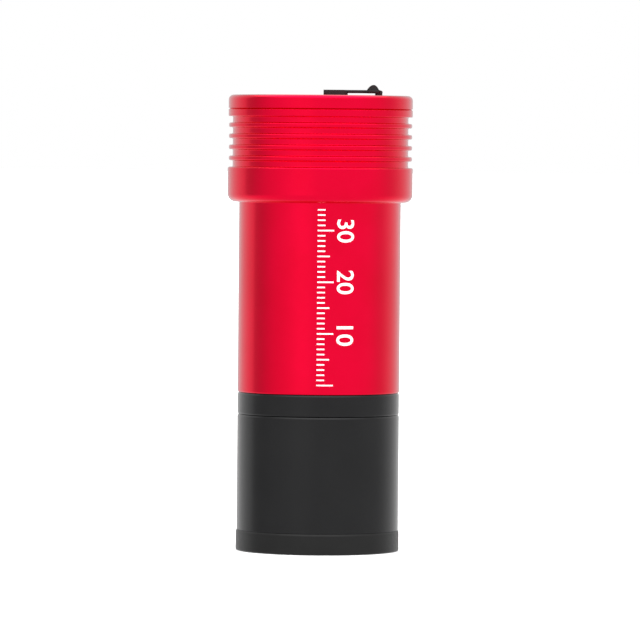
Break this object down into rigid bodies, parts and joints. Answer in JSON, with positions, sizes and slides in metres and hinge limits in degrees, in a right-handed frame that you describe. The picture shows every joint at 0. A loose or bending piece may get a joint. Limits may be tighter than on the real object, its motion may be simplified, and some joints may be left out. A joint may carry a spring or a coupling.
{
  "type": "astronomy camera",
  "caption": "Slim finned telescope camera with a standard push-fit barrel, screw-on nosepiece, plug-in dust cap and tethered port plug on the rear cover.",
  "frame": {"origin": "centre of the dust cap's outer face, on which the camera stands", "axes": "+Z along the optical axis from the nose to the rear cover; +X from the guide jack to the USB port"},
  "size_m": [0.0362, 0.0362, 0.0913],
  "materials": {
    "red_anodised": "satin dyed anodising with fine turning marks",
    "black_anodised": "satin black anodising",
    "black_plastic": "fine moulded texture",
    "black_rubber": "soft matt elastomer",
    "coated_glass": "polished, anti-reflection coated",
    "black_screw": "black oxide",
    "steel_screw": "plain machine screw",
    "circuit_board": "solder mask over glass fibre",
    "connector_plastic": "moulded high-temperature plastic",
    "ribbon_film": "polyimide film",
    "thermal_pad": "soft filled silicone",
    "bare_aluminium": "milled",
    "ceramic_package": "fired, matt",
    "silicon": "polished silicon",
    "chip_epoxy": "moulded epoxy",
    "ferrite": "pressed ferrite",
    "capacitor_ceramic": "fired ceramic",
    "standoff_brass": "turned brass",
    "port_plastic": "moulded, semi-gloss",
    "gold_contact": "gold-plated spring wire",
    "port_steel": "drawn stainless steel"
  },
  "bodies": {
    "dust_cap": {"dust_cap": "black_plastic"},
    "nosepiece": {"nosepiece": "black_anodised"},
    "nose_seal": {"nose_seal": "black_rubber"},
    "camera": {"housing": "red_anodised", "rear_cover": "red_anodised", "rear_cover_screws": "black_screw", "front_ring": "black_anodised", "protective_window": "coated_glass", "window_o_ring": "black_rubber", "window_retaining_ring": "black_anodised", "dust_gasket": "black_rubber", "sensor_package": "ceramic_package", "sensor_die": "silicon", "sensor_cover_glass": "coated_glass", "sensor_board": "circuit_board", "sensor_connector": "connector_plastic", "ribbon_cable": "ribbon_film", "thermal_pad": "thermal_pad", "heat_spreader": "bare_aluminium", "sensor_screws": "steel_screw", "main_board": "circuit_board", "main_board_connector": "connector_plastic", "main_board_screws": "steel_screw", "processor_chip": "chip_epoxy", "memory_chip": "chip_epoxy", "power_inductors": "ferrite", "board_capacitors": "capacitor_ceramic", "board_link_connector": "connector_plastic", "port_board": "circuit_board", "port_board_standoffs": "standoff_brass", "port_board_screws": "steel_screw", "guide_jack": "port_plastic", "guide_jack_contacts": "gold_contact", "usb_shell": "port_steel", "usb_tongue": "port_plastic", "port_plug_anchor": "black_rubber"},
    "port_plug": {"port_plug": "black_rubber"}
  },
  "joints": [
    {"name": "dust_cap_pull", "type": "slide", "parent": "dust_cap", "child": "nosepiece", "axis": [0, 0, 1], "range_m": [0, 0.012]},
    {"name": "nosepiece_turn", "type": "hinge", "parent": "nosepiece", "child": "nose_seal", "pos_m": [0, 0, 0.02675], "axis": [0, 0, 1], "range_deg": [0, 2160]},
    {"name": "nosepiece_advance", "type": "slide", "parent": "nose_seal", "child": "camera", "axis": [0, 0, 1], "range_m": [0, 0.0036]},
    {"name": "port_plug_swing", "type": "hinge", "parent": "camera", "child": "port_plug", "pos_m": [0.0056, 0, 0.09005], "axis": [0, -1, 0], "range_deg": [0, 110]}
  ],
  "couplings": [
    {"joint": "nosepiece_advance", "follows": "nosepiece_turn", "m_per_rad": 0.00009549}
  ]
}
